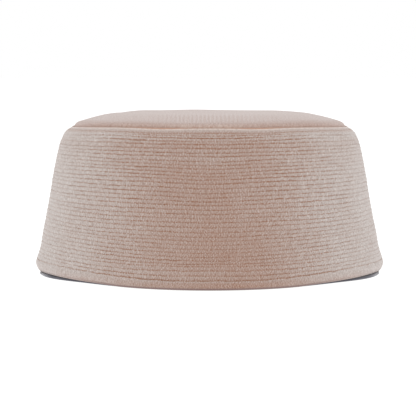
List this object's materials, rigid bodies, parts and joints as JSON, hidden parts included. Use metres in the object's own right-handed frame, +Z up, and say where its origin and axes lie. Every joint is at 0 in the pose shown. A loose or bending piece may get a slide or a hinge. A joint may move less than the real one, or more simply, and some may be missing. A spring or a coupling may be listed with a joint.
{
  "type": "velvet kufi",
  "caption": "Stiff flared round hat without a brim, with a shallow domed top, a quilted velvet wall and a dark cloth band inside the rim.",
  "frame": {"origin": "middle of the oval rim, on the plane that the rim rests on", "axes": "+Z up through the crown, -Y towards the front, Y along the long axis of the oval, X across it"},
  "size_m": [0.191, 0.199, 0.0877],
  "materials": {
    "quilted_velvet": "beige velvet with close rows of machine stitching, paler at grazing angles",
    "plain_velvet": "plain beige velvet, paler at grazing angles",
    "dark_cloth": "dark blue-grey woven cloth with a soft sheen"
  },
  "bodies": {
    "root": {"side_band": "quilted_velvet", "crown_top": "plain_velvet", "inner_band": "dark_cloth"}
  },
  "joints": []
}
